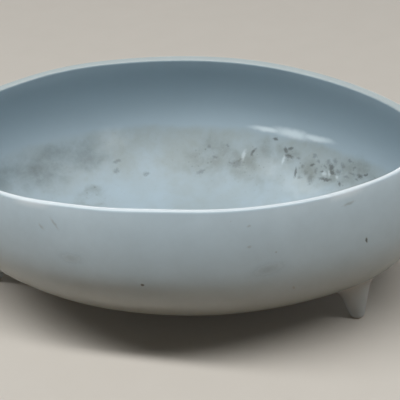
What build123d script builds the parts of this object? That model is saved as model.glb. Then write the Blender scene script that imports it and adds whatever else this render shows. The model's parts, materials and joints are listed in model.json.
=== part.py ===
from build123d import *
import os
from math import atan2, cos, degrees, pi, radians, sin

# Oval ikebana suiban: a slip-cast bowl standing on four peg feet luted to its underside.
# Millimetres. The origin is on the table under the middle of the bowl, +X along the bowl,
# +Y towards its back and +Z up.

# Bowl outside
BOWL_LENGTH = 276.0  # along X at the widest level
BOWL_WIDTH = 184.0  # along Y at the widest level
BOWL_END_RADIUS = 63.0  # plan arc at each end of the widest level
BELLY_HEIGHT = 60.0  # the widest level
RIM_HEIGHT = 92.0  # top of the lip at the middle of the long sides
RIM_DIP = 3.0  # the lip runs this much lower at the two ends
RIM_INSET = 5.5  # the wall leans in this far from the widest level to the lip
BASE_LENGTH = 164.0  # flat underside
BASE_WIDTH = 80.0
BASE_END_RADIUS = 17.0
BASE_HEIGHT = 12.0  # clear height under the flat underside

# Clay
WALL = 5.0
FLOOR = 6.0
LIP_FLAT = 0.6  # left along the top of the lip between its two rounds

# Feet
FOOT_END_SETBACK = 34.0  # tip centres in from the bowl's ends, along X
FOOT_SPACING = 55.0  # between the tip centres at one end, along Y
FOOT_SPLAY = 7.0  # degrees, tips outward
FOOT_TIP_RADIUS = 3.2
FOOT_GRIND = 1.0  # ground off the tips so that the bowl stands level
FOOT_TIP_ROUND = 1.1
FOOT_SHANK_HEIGHT = 17.0  # along the foot's axis, straight taper below and flare above
FOOT_SHANK_RADIUS = 8.0
FOOT_FLARE_HEIGHT = 32.0  # where the joining slip runs out on the bowl
FOOT_FLARE_RADIUS = 15.5

# Outlines that the bowl's skins are drawn through
TURN_LEVELS = 6  # from the base round to the widest level
LEAN_LEVELS = 3  # from the widest level up past the lip
TRIM_ALLOWANCE = 6.0  # clay above the lip that is trimmed off


def bowl_levels(wall, floor):
    """Half length, half width, end radius and height of each outline of a skin, inside the given clay."""
    belly = (BOWL_LENGTH / 2 - wall, BOWL_WIDTH / 2 - wall, BOWL_END_RADIUS - wall)
    base = (BASE_LENGTH / 2, BASE_WIDTH / 2, BASE_END_RADIUS)
    base_height = BASE_HEIGHT + floor
    levels = []
    for step in range(TURN_LEVELS + 1):
        turn = step / TURN_LEVELS * pi / 2
        outline = [low + (high - low) * sin(turn) for low, high in zip(base, belly)]
        levels.append((*outline, BELLY_HEIGHT - (BELLY_HEIGHT - base_height) * cos(turn)))
    upper_height = RIM_HEIGHT - BELLY_HEIGHT
    for step in range(1, LEAN_LEVELS + 1):
        rise = step / LEAN_LEVELS * (upper_height + TRIM_ALLOWANCE)
        lean = RIM_INSET * (rise / upper_height) ** 2
        levels.append((*[size - lean for size in belly], BELLY_HEIGHT + rise))
    return levels


def oval(half_length, half_width, end_radius, height):
    """An oval of four tangent arcs, two at the ends and two along the sides."""
    end_centre = half_length - end_radius
    corner_reach = half_length**2 + half_width**2 - 2 * half_length * end_radius
    side_radius = corner_reach / (2 * (half_width - end_radius))
    side_centre = side_radius - half_width
    turn = degrees(atan2(side_centre, end_centre))
    with BuildSketch(Plane.XY.offset(height)) as outline:
        with BuildLine():
            CenterArc((end_centre, 0), end_radius, -turn, 2 * turn)
            CenterArc((0, -side_centre), side_radius, turn, 180 - 2 * turn)
            CenterArc((-end_centre, 0), end_radius, 180 - turn, 2 * turn)
            CenterArc((0, side_centre), side_radius, 180 + turn, 180 - 2 * turn)
        make_face()
    return outline.sketch


os.makedirs("parts", exist_ok=True)

# The bowl's outside as a solid block of clay, which the feet are cut to as well
with BuildPart() as bowl_block:
    loft([oval(*level) for level in bowl_levels(0, 0)])

with BuildPart() as bowl_hollow:
    loft([oval(*level) for level in bowl_levels(WALL, FLOOR)])

with BuildPart() as bowl:
    add(bowl_block.part)
    add(bowl_hollow.part, mode=Mode.SUBTRACT)
    # The lip is trimmed along a shallow arc, lower at the two ends, and then rounded on both sides
    with BuildSketch(Plane.XZ):
        with BuildLine():
            end_x, end_z = BOWL_LENGTH / 2, RIM_HEIGHT - RIM_DIP
            top_z = RIM_HEIGHT + 2 * TRIM_ALLOWANCE
            ThreePointArc((-end_x, end_z), (0, RIM_HEIGHT), (end_x, end_z))
            Polyline((end_x, end_z), (end_x, top_z), (-end_x, top_z), (-end_x, end_z))
        make_face()
    extrude(amount=BOWL_WIDTH, both=True, mode=Mode.SUBTRACT)
    lip = bowl.faces().sort_by(Axis.Z)[-1]
    fillet(lip.edges(), (WALL - LIP_FLAT) / 2)
bowl.part.label = "bowl"
export_step(bowl.part, "parts/bowl.step")

# A peg foot at each corner of the base, tapering to a blunt tip and flaring where slip joins it on
for name, side_x, side_y in (
    ("foot_front_left", -1, -1),
    ("foot_front_right", 1, -1),
    ("foot_back_left", -1, 1),
    ("foot_back_right", 1, 1),
):
    tip = Vector(side_x * (BOWL_LENGTH / 2 - FOOT_END_SETBACK), side_y * FOOT_SPACING / 2, 0)
    up, out = Vector(0, 0, 1), tip.normalized()
    splay = radians(FOOT_SPLAY)
    foot_up = up * cos(splay) - out * sin(splay)
    foot_out = out * cos(splay) + up * sin(splay)
    with BuildPart() as foot:
        with BuildSketch(Plane(tip, x_dir=foot_out, z_dir=foot_out.cross(foot_up))):
            with BuildLine():
                end = (FOOT_TIP_RADIUS, -FOOT_GRIND)
                shank = (FOOT_SHANK_RADIUS, FOOT_SHANK_HEIGHT)
                flare = (FOOT_FLARE_RADIUS, FOOT_FLARE_HEIGHT)
                taper = Line(end, shank)
                TangentArc(shank, flare, tangent=taper % 1)
                Polyline(flare, (FOOT_FLARE_RADIUS, BELLY_HEIGHT), (0, BELLY_HEIGHT), (0, -FOOT_GRIND), end)
            make_face()
        revolve(axis=Axis(tip, foot_up))
        split(bisect_by=Plane.XY, keep=Keep.TOP)
        sole = foot.faces().sort_by(Axis.Z)[0]
        fillet(sole.edges(), FOOT_TIP_ROUND)
        add(bowl_block.part, mode=Mode.SUBTRACT)
    foot.part.label = name
    export_step(foot.part, f"parts/{name}.step")
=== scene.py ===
import json
from functools import reduce
from math import cos, degrees, exp, hypot, pi, radians, sin, sqrt

import bpy
from mathutils import Matrix, Vector, noise


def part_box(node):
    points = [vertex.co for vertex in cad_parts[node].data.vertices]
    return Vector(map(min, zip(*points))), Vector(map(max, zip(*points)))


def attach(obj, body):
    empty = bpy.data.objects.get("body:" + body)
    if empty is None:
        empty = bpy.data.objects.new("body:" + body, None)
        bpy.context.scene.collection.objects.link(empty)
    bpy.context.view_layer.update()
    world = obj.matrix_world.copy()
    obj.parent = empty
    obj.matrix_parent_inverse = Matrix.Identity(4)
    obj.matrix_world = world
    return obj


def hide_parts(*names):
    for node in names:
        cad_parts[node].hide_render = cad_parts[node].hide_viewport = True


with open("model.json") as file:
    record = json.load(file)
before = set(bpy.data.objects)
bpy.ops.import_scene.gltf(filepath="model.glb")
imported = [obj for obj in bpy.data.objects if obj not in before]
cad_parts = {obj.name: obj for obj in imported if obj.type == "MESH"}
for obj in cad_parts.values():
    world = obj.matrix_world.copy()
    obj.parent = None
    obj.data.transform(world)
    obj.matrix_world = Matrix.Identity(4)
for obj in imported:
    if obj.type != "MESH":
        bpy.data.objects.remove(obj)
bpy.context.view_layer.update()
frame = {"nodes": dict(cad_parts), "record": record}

# The frame's axes, in metres: +X along the bowl, +Y towards its back, +Z up from the ground.
MM = 0.001
bowl_low, bowl_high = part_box("bowl")

# Bowl outside
HALF_LENGTH = bowl_high.x
HALF_WIDTH = bowl_high.y
END_RADIUS = 63 * MM
BASE_Z = bowl_low.z
BELLY_Z = 60 * MM
RIM_Z = bowl_high.z
RIM_DIP = 3 * MM
RIM_INSET = 5.5 * MM
BASE_OUTLINE = (82 * MM, 40 * MM, 17 * MM)  # half length, half width and end radius

# Clay
WALL = 5 * MM
FLOOR = 6 * MM
RIPPLE = 0.25 * MM  # unevenness of the wall
RIPPLE_SCALE = 14.0  # waves per metre

# Lip
LIP_WALL = 4.2 * MM  # the wall thins to this
LIP_TAPER = 8 * MM  # over this height
LIP_FALL = 1.1 * MM  # the top slopes down into the bowl
LIP_ROUND_OUT = 1.2 * MM
LIP_ROUND_IN = 1.1 * MM
LIP_CROWN = 0.25  # share of the lip outside its highest line
LIP_WAVES = (  # where the lip rises or sags: degrees from +X, spread in degrees, millimetres
    (-170, 36, -2.6),
    (-128, 17, -1.2),
    (-90, 55, 0.45),
    (-76, 15, 0.7),
    (-17, 10, 1.0),
    (45, 22, -1.0),
    (95, 40, -0.45),
    (143, 16, 1.0),
    (162, 9, -0.9),
)
LIP_PALE = 0.6 * MM  # the lip is pale this far down from its edges: thin glaze, and on the front half a painted highlight as well
LIP_RUNS = ((-118, 6, 2.4), (-27, 4, 1.8))  # where the pale band reaches further down, given like the waves

# Bowl mesh
COLUMNS = 288
RING_SHARES = (0.2, 0.4, 0.6, 0.8, 0.92, 1.0)  # rings on the flat base and floor
TURN_STEPS = 22
LEAN_STEPS = 12
LIP_STEPS = 8  # in each of its rounds

# Feet
FOOT_SPLAY = radians(7)
FOOT_TIP_RADIUS = 3.2 * MM
FOOT_GRIND = 1 * MM
FOOT_TIP_ROUND = 1.1 * MM
FOOT_SHANK_HEIGHT = 17 * MM
FOOT_SHANK_RADIUS = 8 * MM
SLIP_DOWN = 6 * MM  # the joining slip starts this far down the foot
SLIP_OUT = 5 * MM  # and runs this far out over the bowl
SLIP_SINK = 0.15 * MM  # its edge ends this far inside the bowl's glaze

# Foot mesh
FOOT_COLUMNS = 64
FOOT_TIP_STEPS = 5
FOOT_SHANK_STEPS = 12
SLIP_STEPS = 10
NORMAL_STEP = 0.05 * MM  # to either side of a point, to find which way the bowl faces there
SOLVE_ROUNDS = 40

# Camera, as a 400 x 400 picture
CAMERA_PLACE = Vector((171.4, -474.9, 353.6)) * MM
CAMERA_YAW = radians(-18.308)
CAMERA_PITCH = radians(31.574)
CAMERA_ROLL = radians(5.391)
CAMERA_FOCAL = 1078.8  # pixels
PICTURE_WIDTH = 400  # pixels

# Colours
GLAZE_PALE = (0.57, 0.705, 0.785)
GLAZE_DEEP = (0.46, 0.595, 0.685)
GLAZE_MOTTLE = (0.43, 0.545, 0.615)
# the feet's darker, warmer tone: painted shade
GLAZE_FOOT_SHADE = (0.46, 0.45, 0.42)
# the inside's worn glaze, made darker than the outside's as painted shade
GLAZE_WORN_SHADED = (0.40, 0.495, 0.55)
# painted shade for the upper inside wall
GLAZE_PAINTED_SHADE = (0.255, 0.34, 0.395)
# the front of the lip: thin pale glaze with a painted highlight
GLAZE_THIN_HIGHLIGHT = (0.745, 0.825, 0.87)
# the back of the lip, greyer, without that painted highlight
LIP_BACK_TONE = (0.47, 0.525, 0.52)
SPECK = (0.24, 0.27, 0.27)
HAZE = (0.363, 0.415, 0.413)
HAZE_DARK = (0.335, 0.385, 0.375)
GRIME = (0.20, 0.23, 0.215)
# tone of the darker patches towards the left end of the inside
DARK_PATCH_TONE = (0.19, 0.235, 0.24)
SCUFF = (0.10, 0.115, 0.115)
# pale limescale and chips, and also the painted highlight streak along the waterline
SCALE_AND_HIGHLIGHT = (0.76, 0.86, 0.90)
CLAY = (0.60, 0.50, 0.39)
CLAY_PALE = (0.70, 0.60, 0.48)

# Noise patterns: waves per metre, detail and roughness
GLAZE_DRIFT = (13, 3, 0.5)
GLAZE_CLOUDS = (55, 5, 0.65)
GLAZE_SKIN = (190, 2, 0.5)
GLOSS_DRIFT = (24, 3, 0.5)
WATER_WAVER = (40, 5, 0.6)
HAZE_WAVER = (38, 5, 0.6)
HAZE_CLOUDS = (34, 6, 0.62)
HAZE_TONES = (60, 5, 0.5)
HAZE_CRUST = (700, 4, 0.5)
FLECKS = (150, 5, 0.65)
SCUM_CLOUDS = (26, 6, 0.6)
SOLE_WAVER = (400, 3, 0.5)
CLAY_GRAIN = (900, 4, 0.5)
STAGE_GRAIN = (40, 4, 0.5)

# Specks: cells per metre, share of the cells that have one, and its radius in cells
GLAZE_SPECKS = (150, 0.12, 0.09)
DUST_SPECKS = (360, 0.4, 0.28)
SPECK_CORE = 0.5  # share of the radius inside which a speck is at its darkest

# Glaze
MOTTLE_COVER = (-0.3, 0.9)  # from the weakest to the strongest part of its clouds
SPECK_COVER = 0.45
# share of the inside in the worn glaze and its painted shade
WORN_SHADE_COVER = 0.8
# share of the feet in their painted shade
FOOT_SHADE_COVER = 0.45
LIP_COVER = (0.8, 0.9)  # at the back and at the front
BACK_FADE = (-10 * MM, 30 * MM)  # along Y, from the front half to the back half
GLAZE_IOR = 1.5
GLAZE_ROUGHNESS = (0.2, 0.26)
FOOT_ROUGHNESS = (0.285, 0.33)
INSIDE_ROUGHER = 0.09
MATT_ROUGHER = 0.45  # where the glaze is hazy, dirty or worn
SOLE_ROUGHER = 0.6
SKIN_HEIGHT = 0.05  # millimetres, as the next
CRUST_HEIGHT = 0.05
BUMP_STRENGTH = 0.6
SOLE_FADE = (0.9 * MM, 0.5 * MM)  # height at which the glaze gives way to bare clay
SOLE_WANDER = 1 * MM

# What standing water left inside, up to its line
WATER_Z = 46 * MM
WATER_FADE = (WATER_Z + 2 * MM, WATER_Z - 3.5 * MM)
WATER_WANDER = 8 * MM
WORN_FADE = (WATER_Z + 4 * MM, WATER_Z - 4 * MM)
WORN_MATT = 0.7
PAINTED_SHADE_FADE = (WATER_Z, RIM_Z - 6 * MM)  # above it the upper inside wall darkens into painted shade over this height
HAZE_LOW_FADE = (18 * MM, 30 * MM)
HAZE_WANDER = 22 * MM
HAZE_LEFT_FADE = (-105 * MM, -62 * MM)
HAZE_RIGHT_FADE = (120 * MM, 84 * MM)
HAZE_AT_ENDS = 0.3
HAZE_AT_FRONT = 0.5
HAZE_CLOUD_RANGE = (0.3, 0.66)  # of the noise, from clear to cloud
HAZE_BETWEEN_CLOUDS = 0.3
HAZE_BETWEEN_FLECKS = 0.75
FLECK_RANGE = (0.3, 0.7)
SCUM_RANGE = (0.4, 0.7)
SCUM_COVER = 0.45
DUST_COVER = (0.08, 0.6)  # beside the grime patches and in them

# Marks seen from the front, in millimetres: X, Z, half length, half height, and degrees of tilt.
# With many more of them in one material the bowl renders black.
SCUFFS = (
    (26, 35, 2.0, 0.8, 50),
    (39.5, 43, 1.4, 0.9, 0),
    (46.5, 38.6, 1.0, 1.5, 20),
    (49.5, 39.8, 1.6, 0.6, 20),
    (49, 36, 2.5, 0.8, -5),
    (54, 30, 0.7, 1.8, -10),
    (64, 35, 1.5, 0.6, 25),
    (76, 36.6, 1.6, 1.5, 30),
    (77, 34.6, 1.7, 0.6, 0),
    (70.5, 33.5, 1.2, 0.5, 10),
    (73, 31, 3.8, 0.6, 8),
    (82, 31.5, 0.6, 0.8, 0),
    (94, 38, 1.5, 0.9, 15),
    (97, 39.6, 1.4, 0.4, 35),
)
FAINT_SCUFFS = (
    (-57.5, 30, 2.2, 0.8, 5),
    (-56.5, 26, 1.6, 0.9, -10),
    (-5, 24.5, 2.4, 0.8, 15),
    (16, 28.9, 4.2, 1.3, 5),
    (-38, 24, 1.7, 0.6, 0),
    (2, 30.5, 1.4, 0.6, 0),
    (-2.5, 35, 1.1, 0.7, 20),
    (9, 36.5, 1.0, 0.6, 0),
    (18.5, 30.4, 1.3, 0.5, 40),
    (55, 36.5, 1.0, 0.6, 0),
    (65, 39.3, 1.3, 1.0, 30),
    (78, 40, 1.1, 1.5, 10),
    (87, 43, 1.0, 0.7, 0),
    (90, 40.5, 0.9, 0.5, 20),
    (63.5, 29, 1.7, 1.6, 0),
    (57, 28.5, 1.2, 0.7, 10),
    (58, 33, 0.9, 0.6, 0),
    (60.5, 31, 1.1, 0.9, 30),
    (67.5, 37.5, 1.0, 0.7, 0),
    (66.5, 33, 0.9, 1.1, 15),
    (72, 36, 1.0, 0.6, -20),
    (74, 38.6, 1.3, 0.9, 40),
    (80.5, 36, 1.4, 0.8, 20),
    (83, 39, 1.0, 1.4, 0),
    (85.5, 35, 1.6, 0.6, 10),
    (89, 37.5, 1.8, 0.6, 5),
    (92, 36, 1.0, 0.6, 0),
)
GRIME_PATCHES = (
    (-101, 33, 7, 2.6, -8),
    (-66, 20.5, 6, 1.6, 0),
    (-3, 34, 6, 4, 0),
    (6, 30.5, 21, 6, 0),
    (27, 30.5, 14, 6, 0),
    (33, 36, 6, 5, 10),
    (48, 37, 7, 3.5, 0),
    (62, 33, 6, 3.5, 0),
    (76, 34, 9, 4, 5),
    (92, 39, 10, 5, 5),
)
# darker patches towards the left end of the inside
DARK_PATCHES = (
    (-117, 35, 8, 6, 0),
    (-103, 34, 9, 4, -6),
    (-93, 38, 11, 5, 0),
    (-96, 29.5, 11, 4, -8),
    (-80, 35, 10, 5.5, 0),
    (-74, 32, 8, 3.5, 0),
)
SCALE_PATCHES = (
    (-62.5, 41, 8.5, 5.6, 0),
    (58, 26, 12, 3, 0),
    (38, 29.5, 8, 4, 0),
)
# a painted highlight streak along the waterline, drawn as a pale line
HIGHLIGHT_STREAK = (
    (34, 47.6, 9, 1.2, 0),
    (50, 48, 10, 2.2, 0),
    (65, 48.5, 9, 1.5, 4),
)
CHIPS = (
    (72, 33, 1.4, 0.9, 0),
    (75, 34, 0.7, 1.2, 0),
    (80, 33.5, 0.9, 0.6, 0),
    (20, 32.6, 1.1, 2.4, -15),
    (45.5, 34, 0.8, 2.2, -20),
)
PITS = ((12, 55, 0.9, 0.6, 0), (112, 64, 0.4, 1.4, 0))
SCRATCHES = (
    (-38, 79.5, 1.6, 0.7, -35),
    (-30.5, 82.5, 2.8, 0.6, -50),
    (62, 84, 0.8, 0.5, 0),
    (62, 74, 0.9, 0.6, 0),
    (104, 85, 2.2, 0.6, 10),
    (80, 46, 0.7, 1.3, 0),
)
SMUDGES = ((-23, 66, 4.5, 2, 0), (70, 61, 5, 2.4, 10))

# Edges of the marks: softness, how far they waver, waves of that per metre, and how broken they are
SCUFF_EDGE = (0.6, 2.2 * MM, 480, 1.5)
FAINT_SCUFF_EDGE = (0.7, 2.2 * MM, 480, 1.5)
GRIME_EDGE = (0.85, 11 * MM, 80, 1.0)
DARK_EDGE = (0.95, 12 * MM, 70, 1.0)
SCALE_EDGE = (0.6, 5 * MM, 90, 1.0)
# edge of the painted highlight streak
HIGHLIGHT_STREAK_EDGE = (0.8, 1.8 * MM, 120, 0.4)
CHIP_EDGE = (0.7, 1.2 * MM, 420, 1.0)
PIT_EDGE = (0.45, 1.2 * MM, 420, 0.3)
SCRATCH_EDGE = (0.7, 1.2 * MM, 420, 1.0)
SMUDGE_EDGE = (0.9, 1.2 * MM, 420, 1.0)
WAVER_NOISE = (3, 0.5)  # detail and roughness
BREAK_NOISE = (3, 0.6)
BREAK_SCALE = 2  # breaks to each wave

# How strongly the marks cover the glaze, and the least share of that between the flecks
SCUFF_COVER = 0.75
FAINT_SCUFF_COVER = 0.4
GRIME_COVER = 0.62
GRIME_BETWEEN_FLECKS = 0.45
DARK_COVER = 0.72
DARK_BETWEEN_FLECKS = 0.6
SCALE_COVER = 0.22
SCALE_BETWEEN_FLECKS = 0.5
CHIP_COVER = 0.4
PIT_COVER = 0.95
SCRATCH_COVER = 0.36
SMUDGE_COVER = 0.24

# Stage and light, in metres and watts
STAGE_HALF = 3.0
STAGE_Z = -0.02 * MM
STAGE_PALE = (0.595, 0.56, 0.505)
STAGE_PALER = (0.625, 0.59, 0.535)
STAGE_BOUNCE = (0.155, 0.07, 0.004)  # its colour for the light that it sends up to the bowl
STAGE_ROUGHNESS = 0.9
STAGE_FADE = (0.6, 1.8)  # distance over which it fades into the backdrop
BACKDROP = (0.45, 0.43, 0.39)
LAMP_AIM_Z = 0.05
LAMPS = (  # name, place, length, depth, power; each lies along X and leans towards the middle line
    ("key_above", (-0.3, -0.36, 1.48), 3.4, 0.2, 34),
    ("fill_behind", (0.0, 1.4, 0.26), 2.2, 0.4, 5),
)
ROOM_COLOUR = (1.0, 0.97, 0.92)
ROOM_FADE = (0.05, 0.14)  # height of a direction at which the room's glow starts to fade and ends
ROOM_GLOW = 1.5
ROOM_GLOW_SHARES = (0.5, 1.6)  # of that glow, at the front and back and at the two sides
CEILING_GLOW = 0.03


def oval_reach(angle, half_length, half_width, end_radius):
    """Distance from the middle to an oval of four tangent arcs, at an angle from +X."""
    along, across = abs(cos(angle)), abs(sin(angle))
    end_centre = half_length - end_radius
    corner_reach = half_length**2 + half_width**2 - 2 * half_length * end_radius
    side_radius = corner_reach / (2 * (half_width - end_radius))
    side_centre = side_radius - half_width
    stretch = end_radius / hypot(end_centre, side_centre)
    meet_x, meet_y = end_centre * (1 + stretch), side_centre * stretch
    if across * meet_x < along * meet_y:
        return end_centre * along + sqrt(end_radius**2 - (end_centre * across) ** 2)
    return sqrt(side_radius**2 - (side_centre * along) ** 2) - side_centre * across


def skin_outline(height, wall=0.0, floor=0.0):
    """Half length, half width and end radius of the bowl's skin at a height, inside the given clay."""
    belly = (HALF_LENGTH - wall, HALF_WIDTH - wall, END_RADIUS - wall)
    if height >= BELLY_Z:
        lean = RIM_INSET * ((height - BELLY_Z) / (RIM_Z - BELLY_Z)) ** 2
        return [size - lean for size in belly]
    drop = min((BELLY_Z - height) / (BELLY_Z - BASE_Z - floor), 1.0)
    fullness = sqrt(1 - drop**2)
    return [low + (high - low) * fullness for low, high in zip(BASE_OUTLINE, belly)]


def skin_reach(angle, height, wall=0.0, floor=0.0):
    """Distance from the middle to the bowl's slightly uneven skin."""
    place = Vector((cos(angle) * HALF_LENGTH, sin(angle) * HALF_LENGTH, height))
    ripple = RIPPLE * noise.noise(place * RIPPLE_SCALE)
    return oval_reach(angle, *skin_outline(height, wall, floor)) + ripple


def swell(angle, waves):
    """How far some smooth waves round the bowl rise at an angle."""
    total = 0.0
    for middle, spread, rise in waves:
        apart = (degrees(angle) - middle + 180) % 360 - 180
        total += rise * MM * exp(-((apart / spread) ** 2))
    return total


def lip_height(angle):
    """The lip runs a little lower towards the two ends, and wavers."""
    reach = oval_reach(angle, *skin_outline(RIM_Z))
    return RIM_Z - RIM_DIP * (reach * cos(angle) / HALF_LENGTH) ** 2 + swell(angle, LIP_WAVES)


def bend(start, corner, end, share):
    """A point on the curve that leaves its start towards a corner and comes to its end from there."""
    return start.lerp(corner, share).lerp(corner.lerp(end, share), share)


def bowl_column(angle):
    """Points up the outside, over the lip and down the inside, each as reach, height and share inside."""
    top = lip_height(angle)
    outer_foot, inner_foot = top - LIP_ROUND_OUT, top - LIP_TAPER
    column = []
    for share in RING_SHARES:
        column.append((oval_reach(angle, *BASE_OUTLINE) * share, BASE_Z, 0))
    for step in range(1, TURN_STEPS):
        height = BELLY_Z - (BELLY_Z - BASE_Z) * cos(step / TURN_STEPS * pi / 2)
        column.append((skin_reach(angle, height), height, 0))
    for step in range(LEAN_STEPS + 1):
        height = BELLY_Z + (outer_foot - BELLY_Z) * step / LEAN_STEPS
        column.append((skin_reach(angle, height), height, 0))
    outer_start = Vector((skin_reach(angle, outer_foot), outer_foot))
    outer_top = Vector((skin_reach(angle, top), top))
    crown = outer_top - Vector((LIP_WALL * LIP_CROWN, 0))
    brink = outer_top - Vector((LIP_WALL, LIP_FALL))
    inner_end = Vector((skin_reach(angle, inner_foot, WALL, FLOOR), inner_foot))
    slope_end = brink + (crown - brink).normalized() * LIP_ROUND_IN
    fall_start = brink + (inner_end - brink).normalized() * LIP_ROUND_IN
    for step in range(1, LIP_STEPS + 1):
        share = step / LIP_STEPS
        column.append((*bend(outer_start, outer_top, crown, share), LIP_CROWN * share))
    for step in range(LIP_STEPS + 1):
        share = step / LIP_STEPS
        column.append((*bend(slope_end, brink, fall_start, share), LIP_CROWN + (1 - LIP_CROWN) * share))
    for step in reversed(range(LEAN_STEPS + 1)):
        height = BELLY_Z + (inner_foot - BELLY_Z) * step / LEAN_STEPS
        column.append((skin_reach(angle, height, WALL, FLOOR), height, 1))
    for step in reversed(range(1, TURN_STEPS)):
        height = BELLY_Z - (BELLY_Z - BASE_Z - FLOOR) * cos(step / TURN_STEPS * pi / 2)
        column.append((skin_reach(angle, height, WALL, FLOOR), height, 1))
    for share in reversed(RING_SHARES):
        column.append((oval_reach(angle, *BASE_OUTLINE) * share, BASE_Z + FLOOR, 1))
    return column


def smooth_mesh(name, points, faces):
    mesh = bpy.data.meshes.new(name)
    mesh.from_pydata(points, [], faces)
    mesh.shade_smooth()
    piece = bpy.data.objects.new(name, mesh)
    bpy.context.scene.collection.objects.link(piece)
    return piece


def wall_faces(columns, rows):
    """Quads between neighbouring columns of points, all the way round."""
    faces = []
    for column in range(columns):
        here, there = column * rows, (column + 1) % columns * rows
        faces += [(here + row, there + row, there + row + 1, here + row + 1) for row in range(rows - 1)]
    return faces


def fan_faces(columns, rows, row, centre, turned):
    """Triangles from one row of points to a middle point."""
    faces = []
    for column in range(columns):
        here, there = column * rows + row, (column + 1) % columns * rows + row
        faces.append((there, here, centre) if turned else (here, there, centre))
    return faces


def make_bowl():
    """The bowl's mesh, marked with how far each point is inside and on the pale lip."""
    points, inside, lip = [], [], []
    for index in range(COLUMNS):
        angle = index / COLUMNS * 2 * pi
        top = lip_height(angle)
        pale = LIP_PALE + swell(angle, LIP_RUNS)
        for reach, height, share in bowl_column(angle):
            points.append((reach * cos(angle), reach * sin(angle), height))
            inside.append(share)
            edge = top if share < LIP_CROWN else top - LIP_FALL
            lip.append(min(max(1 - (edge - height) / pale, 0), 1))
    rows = len(points) // COLUMNS
    points += [(0, 0, BASE_Z), (0, 0, BASE_Z + FLOOR)]
    inside += [0, 1]
    lip += [0, 0]
    base_centre, floor_centre = len(points) - 2, len(points) - 1
    faces = wall_faces(COLUMNS, rows)
    faces += fan_faces(COLUMNS, rows, 0, base_centre, True)
    faces += fan_faces(COLUMNS, rows, rows - 1, floor_centre, False)
    piece = smooth_mesh("bowl_glazed", points, faces)
    for name, values in (("inside", inside), ("lip", lip)):
        piece.data.attributes.new(name, "FLOAT", "POINT").data.foreach_set("value", values)
    return piece


def depth_in_bowl(point):
    """Positive inside the bowl's outer skin, measured level."""
    if point.z < BASE_Z:
        return point.z - BASE_Z
    angle = Vector(point.xy).angle_signed(Vector((1, 0)))
    return oval_reach(angle, *skin_outline(point.z)) - hypot(point.x, point.y)


def bowl_normal(point):
    """Which way the bowl's outer skin faces."""
    steps = [axis * NORMAL_STEP for axis in Matrix.Identity(3)]
    slope = [depth_in_bowl(point - step) - depth_in_bowl(point + step) for step in steps]
    return Vector(slope).normalized()


def foot_line(tip, foot_up, radial):
    """One straight line up the foot's tapered side, as a function of the height along its axis."""
    taper = (FOOT_SHANK_RADIUS - FOOT_TIP_RADIUS) / (FOOT_SHANK_HEIGHT + FOOT_GRIND)
    return lambda rise: tip + foot_up * rise + radial * (FOOT_TIP_RADIUS + taper * (rise + FOOT_GRIND))


def solve(function, low, high):
    """Where a rising function crosses zero."""
    for _ in range(SOLVE_ROUNDS):
        middle = (low + high) / 2
        low, high = (low, middle) if function(middle) > 0 else (middle, high)
    return (low + high) / 2


def foot_column(tip, foot_up, radial):
    """Points from the sole, round the tip, up the shank and out along the joining slip."""
    line = foot_line(tip, foot_up, radial)
    ground = solve(lambda rise: line(rise).z, -FOOT_GRIND, FOOT_SHANK_HEIGHT)
    meet = solve(lambda rise: depth_in_bowl(line(rise)), 0, BELLY_Z)
    shank_start, shank_end = ground + FOOT_TIP_ROUND, meet - SLIP_DOWN
    level = Vector((radial.x, radial.y, 0)).normalized()
    column = []
    for step in range(FOOT_TIP_STEPS):
        turn = step / FOOT_TIP_STEPS * pi / 2
        inset = level * FOOT_TIP_ROUND * (1 - sin(turn))
        column.append(line(ground) - inset + Vector((0, 0, FOOT_TIP_ROUND * (1 - cos(turn)))))
    for step in range(FOOT_SHANK_STEPS + 1):
        column.append(line(shank_start + (shank_end - shank_start) * step / FOOT_SHANK_STEPS))
    corner = line(meet)
    normal = bowl_normal(corner)
    outward = (radial - normal * radial.dot(normal)).normalized()
    end = corner + outward * SLIP_OUT
    end += bowl_normal(end) * depth_in_bowl(end)
    end -= bowl_normal(end) * SLIP_SINK
    for step in range(1, SLIP_STEPS + 1):
        column.append(bend(line(shank_end), corner, end, step / SLIP_STEPS))
    return column


def make_foot(node):
    """A foot's mesh, standing at its sole's mount."""
    sole_name = node.replace("foot", "sole")
    sole = next(mount for mount in frame["record"]["mounts"] if mount["name"] == sole_name)
    tip = Vector(sole["pos_m"])
    up, out = Vector((0, 0, 1)), Vector((tip.x, tip.y, 0)).normalized()
    foot_up = up * cos(FOOT_SPLAY) - out * sin(FOOT_SPLAY)
    foot_out = out * cos(FOOT_SPLAY) + up * sin(FOOT_SPLAY)
    foot_side = foot_up.cross(foot_out)
    points = []
    for index in range(FOOT_COLUMNS):
        angle = index / FOOT_COLUMNS * 2 * pi
        points += foot_column(tip, foot_up, foot_out * cos(angle) + foot_side * sin(angle))
    rows = len(points) // FOOT_COLUMNS
    points.append(tip)
    faces = wall_faces(FOOT_COLUMNS, rows) + fan_faces(FOOT_COLUMNS, rows, 0, len(points) - 1, True)
    return smooth_mesh(node + "_glazed", points, faces)


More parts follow.
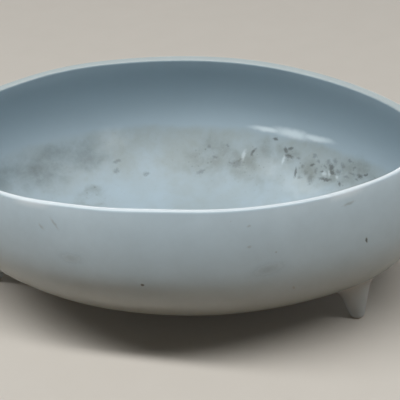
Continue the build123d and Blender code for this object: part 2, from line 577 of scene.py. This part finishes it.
class Nodes:
    """Short calls for the nodes of one tree."""

    def __init__(self, tree):
        self.tree = tree

    def add(self, kind, inputs=None, **settings):
        node = self.tree.nodes.new(kind)
        for name, value in settings.items():
            setattr(node, name, value)
        for name, value in (inputs or {}).items():
            self.set(node.inputs[name], value)
        return node

    def set(self, socket, value):
        """Join a socket to another one, or give it a value."""
        if isinstance(value, bpy.types.NodeSocket):
            self.tree.links.new(value, socket)
        else:
            socket.default_value = value

    def math(self, operation, first, second=0.0, third=0.0):
        inputs = {0: first, 1: second, 2: third}
        return self.add("ShaderNodeMath", inputs, operation=operation).outputs[0]

    def total(self, first, second):
        return self.math("ADD", first, second)

    def product(self, *values):
        return reduce(lambda first, second: self.math("MULTIPLY", first, second), values)

    def most(self, *values):
        return reduce(lambda first, second: self.math("MAXIMUM", first, second), values)

    def smooth(self, value, low, high):
        """0 at the low value and 1 at the high one, which may be the lesser, with a smooth rise between."""
        inputs = {"Value": value, "From Min": low, "From Max": high}
        return self.add("ShaderNodeMapRange", inputs, interpolation_type="SMOOTHSTEP").outputs["Result"]

    def between(self, share, low, high):
        """A share from 0 to 1 spread evenly over a range."""
        inputs = {"Value": share, "To Min": low, "To Max": high}
        return self.add("ShaderNodeMapRange", inputs).outputs["Result"]

    def mix(self, share, first, second):
        """A mix of two colours, by the numbers of the node's colour sockets, which share their names."""
        node = self.add("ShaderNodeMix", {0: share}, data_type="RGBA")
        for socket, value in ((node.inputs[6], first), (node.inputs[7], second)):
            self.set(socket, value if isinstance(value, bpy.types.NodeSocket) else (*value, 1))
        return node.outputs[2]


class Finish(Nodes):
    """A material and the patterns that it is made of."""

    def __init__(self, name):
        self.material = bpy.data.materials.new(name)
        self.material.use_nodes = True
        super().__init__(self.material.node_tree)
        self.shader = self.tree.nodes["Principled BSDF"]
        self.place = self.add("ShaderNodeTexCoord").outputs["Object"]
        self.x, self.y, self.z = self.add("ShaderNodeSeparateXYZ", {0: self.place}).outputs

    def attribute(self, name):
        return self.add("ShaderNodeAttribute", attribute_name=name).outputs["Fac"]

    def noise(self, scale, detail, roughness, output="Fac"):
        inputs = {"Vector": self.place, "Scale": scale, "Detail": detail, "Roughness": roughness}
        return self.add("ShaderNodeTexNoise", inputs).outputs[output]

    def wander(self, pattern, reach):
        """A noise pattern that runs to both sides of zero, its whole range being the reach."""
        return self.product(self.math("SUBTRACT", self.noise(*pattern), 0.5), reach)

    def clouds(self, pattern, clear, full):
        """Soft clouds, clear and full at two values of a noise pattern."""
        return self.smooth(self.noise(*pattern), clear, full)

    def specks(self, scale, share, radius):
        """Small round spots in some of the cells of a pattern, in cell sizes."""
        cells = self.add("ShaderNodeTexVoronoi", {"Vector": self.place, "Scale": scale}).outputs
        red = self.add("ShaderNodeSeparateColor", {0: cells["Color"]}).outputs[0]
        chosen = self.math("LESS_THAN", red, share)
        return self.product(chosen, self.smooth(cells["Distance"], radius, radius * SPECK_CORE))

    def marks(self, rows, edge, waver, waver_scale, breaks):
        """How strongly a point lies in the nearest of some tilted ovals with ragged, broken edges."""
        ragged = self.noise(waver_scale, *WAVER_NOISE, "Color")
        inputs = {0: ragged, 1: (0.5, 0.5, 0.5)}
        centred = self.add("ShaderNodeVectorMath", inputs, operation="SUBTRACT").outputs[0]
        inputs = {0: centred, 1: (waver, waver, waver), 2: self.place}
        moved = self.add("ShaderNodeVectorMath", inputs, operation="MULTIPLY_ADD").outputs[0]
        moved_x, _, moved_z = self.add("ShaderNodeSeparateXYZ", {0: moved}).outputs
        place = self.add("ShaderNodeCombineXYZ", {"X": moved_x, "Y": 1.0, "Z": moved_z}).outputs[0]
        nearest = None
        for x, z, half_length, half_height, tilt in rows:
            along = self.steps_from(place, x, z, radians(tilt), half_length)
            across = self.steps_from(place, x, z, radians(tilt + 90), half_height)
            reach = self.math("MULTIPLY_ADD", along, along, self.product(across, across))
            nearest = reach if nearest is None else self.math("MINIMUM", nearest, reach)
        broken = self.wander((waver_scale * BREAK_SCALE, *BREAK_NOISE), breaks)
        return self.smooth(self.total(self.math("SQRT", nearest), broken), 1 + edge, 1 - edge)

    def steps_from(self, place, x, z, direction, step):
        """How many steps a place, with 1 for its Y, lies from a point in one direction of the XZ plane."""
        step_x, step_z = cos(direction) / (step * MM), sin(direction) / (step * MM)
        inputs = {0: place, 1: (step_x, -(x * step_x + z * step_z) * MM, step_z)}
        return self.add("ShaderNodeVectorMath", inputs, operation="DOT_PRODUCT").outputs["Value"]

    def glaze_colour(self):
        """Plain glaze, clean and unworn."""
        colour = self.mix(self.noise(*GLAZE_DRIFT), GLAZE_PALE, GLAZE_DEEP)
        mottle = self.between(self.noise(*GLAZE_CLOUDS), *MOTTLE_COVER)
        colour = self.mix(mottle, colour, GLAZE_MOTTLE)
        return self.mix(self.product(self.specks(*GLAZE_SPECKS), SPECK_COVER), colour, SPECK)

    def set_shader(self, colour, roughness, height):
        """Give the shader its colour, roughness and a surface height in millimetres."""
        bump = self.add("ShaderNodeBump", {"Height": height, "Distance": MM, "Strength": BUMP_STRENGTH})
        self.set(self.shader.inputs["Base Color"], colour)
        self.set(self.shader.inputs["Roughness"], roughness)
        self.set(self.shader.inputs["IOR"], GLAZE_IOR)
        self.set(self.shader.inputs["Normal"], bump.outputs[0])


def bowl_finish():
    finish = Finish("bowl_glaze_finish")
    inside = finish.attribute("inside")
    outside = finish.math("SUBTRACT", 1.0, inside)
    back = finish.smooth(finish.y, *BACK_FADE)
    front = finish.math("SUBTRACT", 1.0, back)
    inside_back = finish.product(inside, back)
    outside_front = finish.product(outside, front)

    # Glaze: worn inside and darker there as painted shade, more so on the upper inside wall; thin on the
    # lip, with a painted highlight on its front half
    colour = finish.glaze_colour()
    # painted shade darkens the upper inside wall above the waterline
    upper_shade = finish.smooth(finish.z, *PAINTED_SHADE_FADE)
    worn_shade_cover = finish.product(inside, WORN_SHADE_COVER)
    colour = finish.mix(worn_shade_cover, colour, finish.mix(upper_shade, GLAZE_WORN_SHADED, GLAZE_PAINTED_SHADE))
    # the lip is paler: thin glaze, on the front half also a painted highlight, and a greyer tone at the
    # back
    lip = finish.product(finish.attribute("lip"), finish.between(front, *LIP_COVER))
    colour = finish.mix(lip, colour, finish.mix(front, LIP_BACK_TONE, GLAZE_THIN_HIGHLIGHT))

    # Haze and scum below the waterline
    haze_wander = finish.wander(HAZE_WAVER, HAZE_WANDER)
    water_wander = finish.wander(WATER_WAVER, WATER_WANDER)
    below_water = finish.smooth(finish.total(finish.z, water_wander), *WATER_FADE)
    above_floor = finish.smooth(finish.total(finish.z, haze_wander), *HAZE_LOW_FADE)
    left_end = finish.smooth(finish.x, *HAZE_LEFT_FADE)
    right_end = finish.smooth(finish.x, *HAZE_RIGHT_FADE)
    middle = finish.between(finish.product(left_end, right_end), HAZE_AT_ENDS, 1.0)
    rear = finish.between(back, HAZE_AT_FRONT, 1.0)
    band = finish.product(inside, below_water, above_floor, middle, rear)
    cloud = finish.between(finish.clouds(HAZE_CLOUDS, *HAZE_CLOUD_RANGE), HAZE_BETWEEN_CLOUDS, 1.0)
    fleck = finish.clouds(FLECKS, *FLECK_RANGE)
    haze = finish.product(band, cloud, finish.between(fleck, HAZE_BETWEEN_FLECKS, 1.0))
    colour = finish.mix(haze, colour, finish.mix(finish.noise(*HAZE_TONES), HAZE, HAZE_DARK))
    scum = finish.product(inside, below_water, finish.clouds(SCUM_CLOUDS, *SCUM_RANGE), SCUM_COVER)
    colour = finish.mix(scum, colour, HAZE)

    # Inside the back wall: grime and dust, darker patches at the left end, pale scale and chips, and a
    # painted highlight streak along the waterline
    patches = finish.marks(GRIME_PATCHES, *GRIME_EDGE)
    flecked = finish.between(fleck, GRIME_BETWEEN_FLECKS, 1.0)
    colour = finish.mix(finish.product(inside_back, patches, flecked, GRIME_COVER), colour, GRIME)
    # darker patches towards the left end of the inside
    dark = finish.marks(DARK_PATCHES, *DARK_EDGE)
    flecked = finish.between(fleck, DARK_BETWEEN_FLECKS, 1.0)
    colour = finish.mix(finish.product(inside_back, dark, flecked, DARK_COVER), colour, DARK_PATCH_TONE)
    scale = finish.marks(SCALE_PATCHES, *SCALE_EDGE)
    flecked = finish.between(fleck, SCALE_BETWEEN_FLECKS, 1.0)
    scale = finish.product(inside_back, scale, flecked, SCALE_COVER)
    # painted highlight streak along the waterline
    highlight_streak = finish.product(inside_back, finish.marks(HIGHLIGHT_STREAK, *HIGHLIGHT_STREAK_EDGE))
    chips = finish.product(inside_back, finish.marks(CHIPS, *CHIP_EDGE), CHIP_COVER)
    colour = finish.mix(finish.most(scale, highlight_streak, chips), colour, SCALE_AND_HIGHLIGHT)
    dust_cover = finish.between(patches, *DUST_COVER)
    dust = finish.product(inside_back, below_water, finish.specks(*DUST_SPECKS), dust_cover)
    colour = finish.mix(dust, colour, GRIME)

    # Scuffs inside, and pits, scratches and smudges outside the front
    scuffs = finish.product(inside_back, finish.marks(SCUFFS, *SCUFF_EDGE), SCUFF_COVER)
    faint_scuffs = finish.marks(FAINT_SCUFFS, *FAINT_SCUFF_EDGE)
    faint_scuffs = finish.product(inside_back, faint_scuffs, FAINT_SCUFF_COVER)
    pits = finish.product(outside_front, finish.marks(PITS, *PIT_EDGE), PIT_COVER)
    scratches = finish.product(outside_front, finish.marks(SCRATCHES, *SCRATCH_EDGE), SCRATCH_COVER)
    smudges = finish.product(outside_front, finish.marks(SMUDGES, *SMUDGE_EDGE), SMUDGE_COVER)
    dirt = finish.most(scuffs, faint_scuffs, pits, scratches, smudges)
    colour = finish.mix(dirt, colour, SCUFF)

    worn = finish.product(inside, finish.smooth(finish.z, *WORN_FADE), WORN_MATT)
    matt = finish.product(finish.most(haze, dirt, worn), MATT_ROUGHER)
    gloss = finish.between(finish.noise(*GLOSS_DRIFT), *GLAZE_ROUGHNESS)
    gloss = finish.total(gloss, finish.product(inside, INSIDE_ROUGHER))
    crust = finish.product(finish.noise(*HAZE_CRUST), haze, CRUST_HEIGHT)
    skin = finish.product(finish.noise(*GLAZE_SKIN), SKIN_HEIGHT)
    finish.set_shader(colour, finish.total(gloss, matt), finish.total(skin, crust))
    return finish.material


def foot_finish():
    finish = Finish("foot_glaze_finish")
    # the feet's darker, warmer tone is painted shade
    colour = finish.mix(FOOT_SHADE_COVER, finish.glaze_colour(), GLAZE_FOOT_SHADE)
    sole_wander = finish.wander(SOLE_WAVER, SOLE_WANDER)
    sole = finish.smooth(finish.total(finish.z, sole_wander), *SOLE_FADE)
    colour = finish.mix(sole, colour, finish.mix(finish.noise(*CLAY_GRAIN), CLAY, CLAY_PALE))
    gloss = finish.between(finish.noise(*GLOSS_DRIFT), *FOOT_ROUGHNESS)
    roughness = finish.total(gloss, finish.product(sole, SOLE_ROUGHER))
    finish.set_shader(colour, roughness, finish.product(finish.noise(*GLAZE_SKIN), SKIN_HEIGHT))
    return finish.material


def dress(piece, node, material):
    piece.data.materials.append(material)
    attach(piece, "root")
    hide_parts(node)


def set_stage():
    """A pale floor that fades into the backdrop and is open from below."""
    corners = [(-1, -1), (1, -1), (1, 1), (-1, 1)]
    points = [(x * STAGE_HALF, y * STAGE_HALF, STAGE_Z) for x, y in corners]
    floor = smooth_mesh("floor", points, [(0, 1, 2, 3)])
    finish = Finish("floor_finish")
    rays = finish.add("ShaderNodeLightPath").outputs
    shown = finish.most(rays["Is Camera Ray"], rays["Is Glossy Ray"])
    pale = finish.mix(finish.noise(*STAGE_GRAIN), STAGE_PALE, STAGE_PALER)
    finish.set(finish.shader.inputs["Base Color"], finish.mix(shown, STAGE_BOUNCE, pale))
    finish.set(finish.shader.inputs["Roughness"], STAGE_ROUGHNESS)
    distance = finish.add("ShaderNodeVectorMath", {0: finish.place}, operation="LENGTH").outputs["Value"]
    fade = finish.product(shown, finish.smooth(distance, *STAGE_FADE))
    far = finish.add("ShaderNodeEmission", {"Color": (*BACKDROP, 1)}).outputs[0]
    top = finish.add("ShaderNodeMixShader", {0: fade, 1: finish.shader.outputs[0], 2: far}).outputs[0]
    below = finish.add("ShaderNodeNewGeometry").outputs["Backfacing"]
    clear = finish.add("ShaderNodeBsdfTransparent").outputs[0]
    both = finish.add("ShaderNodeMixShader", {0: below, 1: top, 2: clear}).outputs[0]
    finish.set(finish.tree.nodes["Material Output"].inputs["Surface"], both)
    floor.data.materials.append(finish.material)


def add_area_light(name, place, length, depth, power):
    lamp = bpy.data.lights.new(name, "AREA")
    lamp.shape = "RECTANGLE"
    lamp.size = length
    lamp.size_y = depth
    lamp.energy = power
    light = bpy.data.objects.new(name, lamp)
    light.location = place
    light.visible_camera = False
    aim = Vector((place[0], 0, LAMP_AIM_Z)) - Vector(place)
    light.rotation_euler = aim.to_track_quat("-Z", "Y").to_euler()
    bpy.context.scene.collection.objects.link(light)


def set_lights():
    """A long soft lamp above the front, a weaker one behind, and a room that glows near the horizon."""
    for lamp in LAMPS:
        add_area_light(*lamp)
    world = bpy.data.worlds.new("studio")
    world.use_nodes = True
    nodes = Nodes(world.node_tree)
    direction = nodes.add("ShaderNodeTexCoord").outputs["Generated"]
    x, _, z = nodes.add("ShaderNodeSeparateXYZ", {0: direction}).outputs
    fade_start, fade_end = ROOM_FADE
    glow = nodes.between(nodes.smooth(z, fade_end, fade_start), CEILING_GLOW, ROOM_GLOW)
    sides = nodes.between(nodes.math("ABSOLUTE", x), *ROOM_GLOW_SHARES)
    room = nodes.tree.nodes["Background"]
    nodes.set(room.inputs["Color"], (*ROOM_COLOUR, 1))
    nodes.set(room.inputs["Strength"], nodes.product(glow, sides))
    backdrop = nodes.add("ShaderNodeBackground", {"Color": (*BACKDROP, 1)}).outputs[0]
    shown = nodes.add("ShaderNodeLightPath").outputs["Is Camera Ray"]
    both = nodes.add("ShaderNodeMixShader", {0: shown, 1: room.outputs[0], 2: backdrop}).outputs[0]
    nodes.set(nodes.tree.nodes["World Output"].inputs["Surface"], both)
    bpy.context.scene.world = world


def set_camera():
    level = cos(CAMERA_PITCH)
    forward = Vector((sin(CAMERA_YAW) * level, cos(CAMERA_YAW) * level, -sin(CAMERA_PITCH)))
    level_right = Vector((cos(CAMERA_YAW), -sin(CAMERA_YAW), 0))
    level_down = forward.cross(level_right)
    right = level_right * cos(CAMERA_ROLL) + level_down * sin(CAMERA_ROLL)
    up = level_right * sin(CAMERA_ROLL) - level_down * cos(CAMERA_ROLL)
    lens = bpy.data.cameras.new("camera")
    lens.lens = CAMERA_FOCAL / PICTURE_WIDTH * lens.sensor_width
    camera = bpy.data.objects.new("camera", lens)
    turn = Matrix((right, up, -forward)).transposed()
    camera.matrix_world = Matrix.Translation(CAMERA_PLACE) @ turn.to_4x4()
    bpy.context.scene.collection.objects.link(camera)
    bpy.context.scene.camera = camera


set_camera()
set_stage()
set_lights()
bpy.context.scene.view_settings.view_transform = "Standard"

dress(make_bowl(), "bowl", bowl_finish())
foot_material = foot_finish()
for node in sorted(frame["nodes"]):
    if node.startswith("foot_"):
        dress(make_foot(node), node, foot_material)
